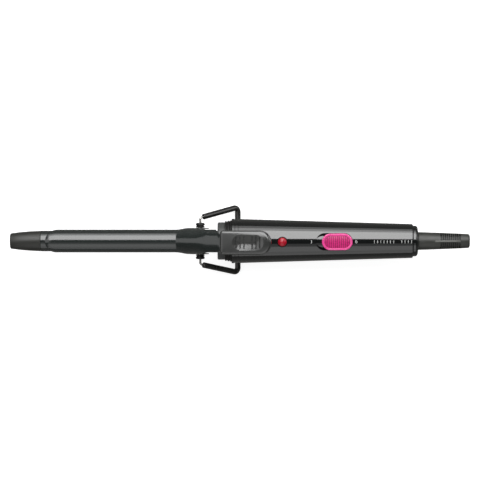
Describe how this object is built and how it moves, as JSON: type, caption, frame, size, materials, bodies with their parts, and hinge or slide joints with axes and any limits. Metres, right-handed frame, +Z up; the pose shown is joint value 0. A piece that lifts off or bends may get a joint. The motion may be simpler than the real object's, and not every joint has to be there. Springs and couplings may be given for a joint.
{
  "type": "curling iron",
  "caption": "Slim curling iron: heated barrel with spring clip and thumb pad, folding wire stand, tapered handle with slide switch and pilot lamp, swivelling cord entry.",
  "frame": {"origin": "middle of the overall length, on the surface that the folded stand's bar touches, under the barrel's axis", "axes": "+X from the cool tip along the barrel to the cord entry, +Z up through the clip, the lamp and the switch, +Y across"},
  "size_m": [0.33, 0.0502, 0.0514],
  "materials": {
    "coated_steel": "high-gloss dark ceramic coating",
    "tip_plastic": "satin heat-resistant plastic",
    "handle_plastic": "polished black plastic",
    "nose_plastic": "satin dark grey plastic",
    "matte_black_plastic": "matt black heat-resistant plastic",
    "pad_plastic": "fine-textured dark plastic",
    "relief_elastomer": "matt flexible moulding",
    "sleeve_rubber": "silicone sleeving",
    "knob_plastic": "satin magenta plastic",
    "lens_plastic": "clear red plastic",
    "bright_steel": "nickel-plated wire",
    "screw_steel": "zinc-plated screws",
    "aluminium": "extruded, plain",
    "ceramic": "unglazed heater ceramic",
    "contact_brass": "rolled strip",
    "film": "amber insulating film",
    "fuse_case": "drawn can",
    "glass_sleeving": "varnished glass braid",
    "lead_insulation": "silicone insulation",
    "supply_insulation": "silicone insulation",
    "holder_plastic": "phenolic moulding",
    "board": "glass-epoxy laminate",
    "component_body": "lacquered",
    "inner_plastic": "unpolished moulding",
    "slider_plastic": "acetal moulding"
  },
  "bodies": {
    "iron_body": {"barrel_tube": "coated_steel", "cool_tip": "tip_plastic", "heat_spreader_upper": "aluminium", "heat_spreader_lower": "aluminium", "ptc_stones": "ceramic", "electrode_strips": "contact_brass", "insulating_films": "film", "thermal_fuse": "fuse_case", "heater_leads": "lead_insulation", "lead_sleeves": "glass_sleeving", "barrel_holder": "holder_plastic", "barrel_screws": "screw_steel", "hinge_bracket": "coated_steel", "hinge_pins": "bright_steel", "clip_spring": "bright_steel", "nose_ring": "nose_plastic", "fin_ring": "matte_black_plastic", "handle_upper": "handle_plastic", "handle_lower": "handle_plastic", "handle_screws": "screw_steel", "rear_cap": "handle_plastic", "pilot_lens": "lens_plastic", "pilot_lamp": "lens_plastic", "circuit_board": "board", "board_screws": "screw_steel", "lamp_resistor": "component_body", "switch_body": "inner_plastic", "switch_contacts": "contact_brass", "supply_wires": "supply_insulation", "brush_springs": "contact_brass"},
    "clip": {"clip_blade": "coated_steel", "thumb_pad": "pad_plastic", "pad_screws": "screw_steel"},
    "stand": {"stand_wire": "bright_steel", "stand_sleeve": "sleeve_rubber", "stand_bushings": "matte_black_plastic"},
    "switch_button": {"switch_knob": "knob_plastic", "switch_slider": "slider_plastic", "contact_bridge": "contact_brass"},
    "cord_swivel": {"swivel_rotor": "inner_plastic", "slip_rings": "contact_brass", "strain_relief": "relief_elastomer"}
  },
  "joints": [
    {"name": "clip_hinge", "type": "hinge", "parent": "iron_body", "child": "clip", "pos_m": [-0.0283, 0, 0.02033], "axis": [0, 1, 0], "range_deg": [0, 11], "stiffness_Nm_per_rad": 0.76, "springref_deg": -9.17, "deforming": ["clip_spring"]},
    {"name": "stand_fold", "type": "hinge", "parent": "iron_body", "child": "stand", "pos_m": [-0.0283, 0, 0.02033], "axis": [0, 1, 0], "range_deg": [0, 78]},
    {"name": "switch_slide", "type": "slide", "parent": "iron_body", "child": "switch_button", "axis": [-1, 0, 0], "range_m": [0, 0.004]},
    {"name": "cord_turn", "type": "hinge", "parent": "iron_body", "child": "cord_swivel", "pos_m": [0.121, 0, 0.02033], "axis": [1, 0, 0], "continuous": true}
  ]
}
